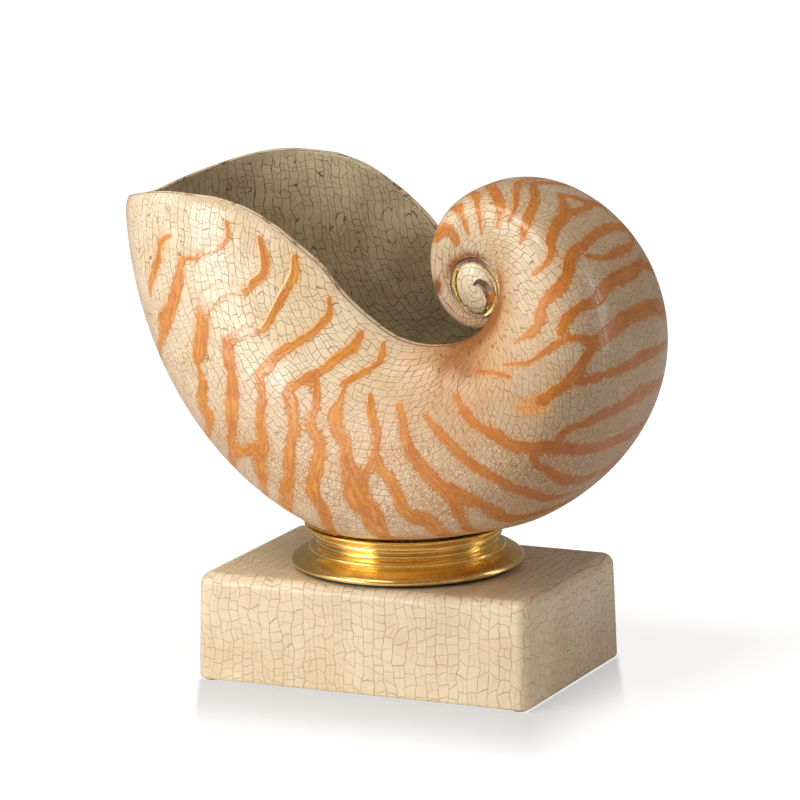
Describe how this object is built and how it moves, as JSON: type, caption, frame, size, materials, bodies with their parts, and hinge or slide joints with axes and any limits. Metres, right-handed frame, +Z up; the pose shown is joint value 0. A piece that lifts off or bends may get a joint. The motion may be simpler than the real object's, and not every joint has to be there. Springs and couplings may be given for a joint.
{
  "type": "nautilus shell ornament",
  "caption": "Open-mouthed coiled nautilus shell in striped crackle glaze, held by a stepped brass collar on a rectangular crackle-glazed plinth.",
  "frame": {"origin": "middle of the object's bounding box at its base, on the surface it stands on", "axes": "+Z up, the lip towards -X and the coil towards +X, +Y across the shell"},
  "size_m": [0.1904, 0.12, 0.1799],
  "materials": {
    "crackle_glaze": "cream crackle glaze with hand-painted soft orange stripes",
    "plinth_glaze": "cream crackle glaze",
    "gilt_brass": "brushed and polished",
    "zinc_steel": "zinc plated",
    "black_rubber": "matt",
    "brown_felt": "pressed felt"
  },
  "bodies": {
    "root": {"shell_body": "crackle_glaze", "plinth": "plinth_glaze", "brass_collar": "gilt_brass", "shell_gasket": "black_rubber", "foot_gasket": "black_rubber", "inner_gasket": "black_rubber", "inner_washer": "gilt_brass", "cap_nut": "gilt_brass", "tie_rod": "zinc_steel", "base_washer": "zinc_steel", "spring_washer": "zinc_steel", "base_nut": "zinc_steel", "felt_pad_1": "brown_felt", "felt_pad_2": "brown_felt", "felt_pad_3": "brown_felt", "felt_pad_4": "brown_felt"}
  },
  "joints": []
}
